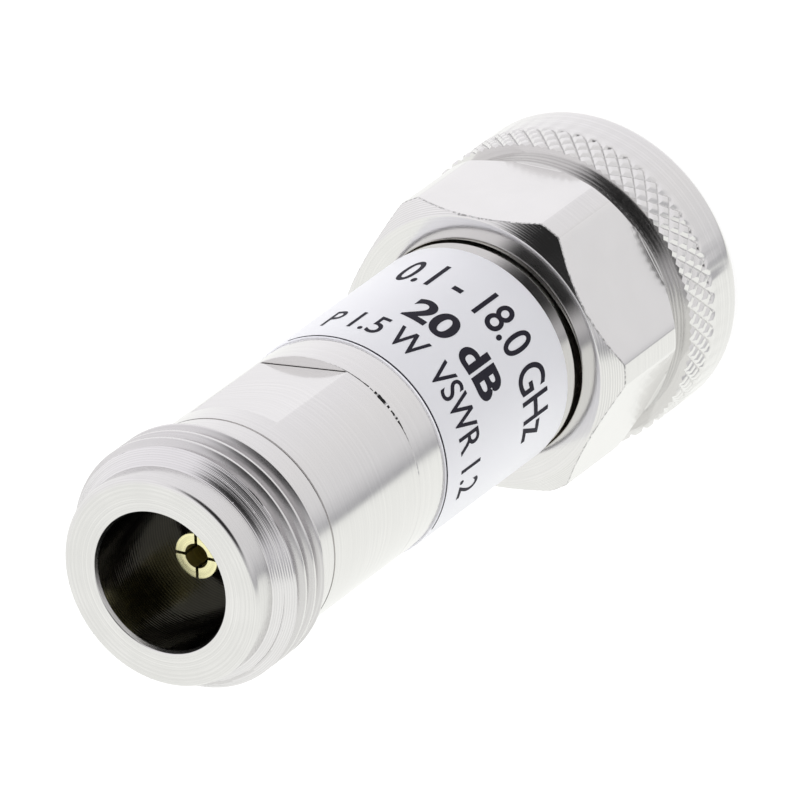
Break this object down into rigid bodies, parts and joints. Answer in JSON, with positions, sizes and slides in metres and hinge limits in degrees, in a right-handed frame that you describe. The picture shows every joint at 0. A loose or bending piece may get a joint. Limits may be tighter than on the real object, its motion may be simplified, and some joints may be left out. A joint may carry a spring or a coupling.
{
  "type": "rf attenuator",
  "caption": "Fixed coaxial attenuator: threaded type N socket, labelled steel sleeve, and a plug with a free-spinning coupling nut that is part hexagon, part knurled grip.",
  "frame": {"origin": "centre of the coupling nut's front rim, on the surface the part stands on", "axes": "+Z along the coaxial axis, from the plug up to the socket's mouth; +X normal to one wrench flat"},
  "size_m": [0.0202, 0.0202, 0.051],
  "materials": {
    "steel_jack": "passivated stainless steel with fine turning lines",
    "steel_sleeve": "passivated stainless steel, turned smooth",
    "steel_plug": "passivated stainless steel, turned smooth",
    "steel_nut": "passivated stainless steel, milled flats and diamond knurl",
    "gold_contact": "gold plate, polished",
    "contact_metal": "white bronze plate, satin",
    "clamp_metal": "nickel plate, satin",
    "spring_bronze": "bare phosphor bronze",
    "ptfe": "waxy white",
    "ceramic": "fired white ceramic",
    "label_film": "white film with black print",
    "gasket_rubber": "smooth silicone rubber"
  },
  "bodies": {
    "body": {"jack_body": "steel_jack", "jack_contact": "gold_contact", "jack_bead": "ptfe", "sleeve": "steel_sleeve", "label": "label_film", "chip_clamp_left": "clamp_metal", "chip_clamp_right": "clamp_metal", "attenuator_chip": "ceramic", "plug_body": "steel_plug", "plug_outer_contact": "contact_metal", "plug_pin": "gold_contact", "plug_bead": "ptfe", "gasket": "gasket_rubber", "c_ring": "spring_bronze"},
    "nut": {"coupling_nut": "steel_nut"}
  },
  "joints": [
    {"name": "nut_spin", "type": "hinge", "parent": "body", "child": "nut", "pos_m": [0, 0, 0.0073], "axis": [0, 0, 1], "continuous": true}
  ]
}
